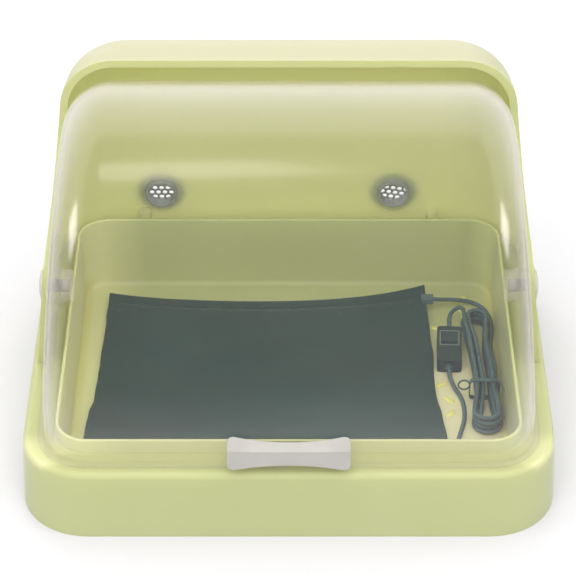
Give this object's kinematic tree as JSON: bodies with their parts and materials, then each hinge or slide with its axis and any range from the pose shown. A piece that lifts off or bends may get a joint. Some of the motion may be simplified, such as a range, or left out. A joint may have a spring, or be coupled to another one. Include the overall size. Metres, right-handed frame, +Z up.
{
  "type": "chick brooder box",
  "caption": "Tabletop chick brooder: pale green tray and hooded rear shell, clear cover that rolls back on side pivots, round vents, warming pad with an inline button controller and tied lead.",
  "frame": {"origin": "on the ground plane, at the middle of the tray's width and depth", "axes": "+X to the box's right seen from the front, +Y to the rear shell, +Z up"},
  "size_m": [0.402, 0.344, 0.2718],
  "materials": {
    "body_plastic": "satin translucent moulding",
    "cover_clear": "polished, clear and slightly milky",
    "handle_white": "satin",
    "pivot_white": "satin translucent",
    "vent_grey": "fine matte",
    "pad_fabric": "woven, matte",
    "film": "smooth film",
    "cord_rubber": "satin",
    "controller_plastic": "fine matte",
    "button_plastic": "fine matte",
    "board": "smooth",
    "screw_steel": "plated",
    "plug_metal": "nickel plated",
    "tongue_white": "smooth"
  },
  "bodies": {
    "base": {"base_tray": "body_plastic", "rear_shell": "body_plastic", "shell_screws": "screw_steel", "pivot_cap_left": "pivot_white", "pivot_cap_right": "pivot_white", "pivot_nut_left": "pivot_white", "pivot_nut_right": "pivot_white", "vent_plug_left": "vent_grey", "vent_plug_right": "vent_grey", "vent_grille_left": "vent_grey", "vent_grille_right": "vent_grey", "heat_pad": "pad_fabric", "heating_film": "film", "pad_strain_relief": "cord_rubber", "pad_cord": "cord_rubber", "controller_base": "controller_plastic", "controller_top": "controller_plastic", "controller_board": "board", "controller_glands": "cord_rubber", "feed_cord": "cord_rubber", "cord_hank": "cord_rubber", "twist_tie": "cord_rubber", "tail_cord": "cord_rubber", "plug_grip": "controller_plastic", "plug_shell": "plug_metal", "plug_tongue": "tongue_white"},
    "cover": {"cover": "cover_clear", "cover_handle": "handle_white", "handle_screws": "screw_steel"},
    "button": {"controller_button": "button_plastic"}
  },
  "joints": [
    {"name": "cover_hinge", "type": "hinge", "parent": "base", "child": "cover", "pos_m": [0, -0.012, 0.115], "axis": [-1, 0, 0], "range_deg": [0, 60]},
    {"name": "button_press", "type": "slide", "parent": "base", "child": "button", "axis": [0, 0, -1], "range_m": [0, 0.001], "stiffness_N_per_m": 600}
  ]
}
